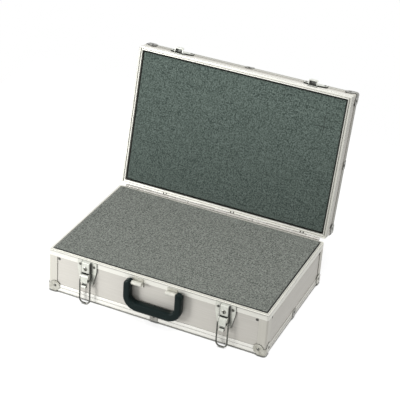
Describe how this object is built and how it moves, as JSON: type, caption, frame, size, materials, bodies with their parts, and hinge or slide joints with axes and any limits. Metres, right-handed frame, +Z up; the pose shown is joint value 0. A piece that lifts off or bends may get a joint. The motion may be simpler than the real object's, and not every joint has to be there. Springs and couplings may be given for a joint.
{
  "type": "foam-lined equipment case",
  "caption": "Hinged hard equipment case, shown open: aluminium-framed panels, cubed foam in base and lid, draw latches with key locks, drop handle.",
  "frame": {"origin": "on the floor under the middle of the base; the flat middle of the underside lies 1.2 mm above it, because the case rests on its corner caps", "axes": "+X along the case's width, -Y out of the front with the handle and latches, +Z up"},
  "size_m": [0.4548, 0.4173, 0.3909],
  "materials": {
    "panel_laminate": "satin",
    "aluminium_profile": "satin",
    "plated_steel": "satin",
    "rivet": "satin",
    "chrome_wire": "polished",
    "lock_core": "satin",
    "handle_plastic": "satin",
    "foam_base": "matte",
    "foam_lid": "matte"
  },
  "bodies": {
    "base": {"base_back_panel": "panel_laminate", "base_bottom_panel": "panel_laminate", "base_corner_caps": "plated_steel", "base_corner_posts": "aluminium_profile", "base_cube_foam": "foam_base", "base_edge_back": "aluminium_profile", "base_edge_clips": "plated_steel", "base_edge_front": "aluminium_profile", "base_edge_left": "aluminium_profile", "base_edge_right": "aluminium_profile", "base_foam_pad": "foam_base", "base_front_panel": "panel_laminate", "base_left_panel": "panel_laminate", "base_right_panel": "panel_laminate", "base_rim_back": "aluminium_profile", "base_rim_front": "aluminium_profile", "base_rim_left": "aluminium_profile", "base_rim_right": "aluminium_profile", "base_rivets": "rivet", "handle_bracket_left": "plated_steel", "handle_bracket_right": "plated_steel", "handle_pins": "plated_steel", "hinge_base_leaves": "plated_steel", "hinge_pins": "plated_steel", "latch_pins": "plated_steel", "latch_plate_left": "plated_steel", "latch_plate_right": "plated_steel", "lock_housing_left": "plated_steel", "lock_housing_right": "plated_steel"},
    "lid": {"catch_left": "plated_steel", "catch_right": "plated_steel", "hinge_lid_leaves": "plated_steel", "lid_back_panel": "panel_laminate", "lid_corner_caps": "plated_steel", "lid_corner_posts": "aluminium_profile", "lid_cube_foam": "foam_lid", "lid_edge_back": "aluminium_profile", "lid_edge_clips": "plated_steel", "lid_edge_front": "aluminium_profile", "lid_edge_left": "aluminium_profile", "lid_edge_right": "aluminium_profile", "lid_foam_pad": "foam_lid", "lid_front_panel": "panel_laminate", "lid_ledge_rivets": "rivet", "lid_left_panel": "panel_laminate", "lid_right_panel": "panel_laminate", "lid_rim_back": "aluminium_profile", "lid_rim_front": "aluminium_profile", "lid_rim_left": "aluminium_profile", "lid_rim_right": "aluminium_profile", "lid_rivets": "rivet", "lid_top_panel": "panel_laminate"},
    "handle": {"handle_grip": "handle_plastic"},
    "lever_left": {"lever_left": "plated_steel"},
    "lever_right": {"lever_right": "plated_steel"},
    "bail_left": {"bail_left": "chrome_wire"},
    "bail_right": {"bail_right": "chrome_wire"},
    "key_core_left": {"key_core_left": "lock_core"},
    "key_core_right": {"key_core_right": "lock_core"}
  },
  "joints": [
    {"name": "lid_hinge", "type": "hinge", "parent": "base", "child": "lid", "pos_m": [0, 0.1491, 0.0922], "axis": [1, 0, 0], "range_deg": [0, 102]},
    {"name": "handle_swing", "type": "hinge", "parent": "base", "child": "handle", "pos_m": [0, -0.1535, 0.0805], "axis": [-1, 0, 0], "range_deg": [0, 95]},
    {"name": "lever_left_swing", "type": "hinge", "parent": "base", "child": "lever_left", "pos_m": [-0.142, -0.154, 0.062], "axis": [1, 0, 0], "range_deg": [-100, 0]},
    {"name": "bail_left_swing", "type": "hinge", "parent": "lever_left", "child": "bail_left", "pos_m": [-0.142, -0.154, 0.054], "axis": [-1, 0, 0], "range_deg": [0, 180]},
    {"name": "key_left_turn", "type": "hinge", "parent": "base", "child": "key_core_left", "pos_m": [-0.142, -0.148, 0.078], "axis": [0, 1, 0], "range_deg": [0, 90]},
    {"name": "lever_right_swing", "type": "hinge", "parent": "base", "child": "lever_right", "pos_m": [0.142, -0.154, 0.062], "axis": [1, 0, 0], "range_deg": [-100, 0]},
    {"name": "bail_right_swing", "type": "hinge", "parent": "lever_right", "child": "bail_right", "pos_m": [0.142, -0.154, 0.054], "axis": [-1, 0, 0], "range_deg": [0, 180]},
    {"name": "key_right_turn", "type": "hinge", "parent": "base", "child": "key_core_right", "pos_m": [0.142, -0.148, 0.078], "axis": [0, 1, 0], "range_deg": [0, 90]}
  ]
}
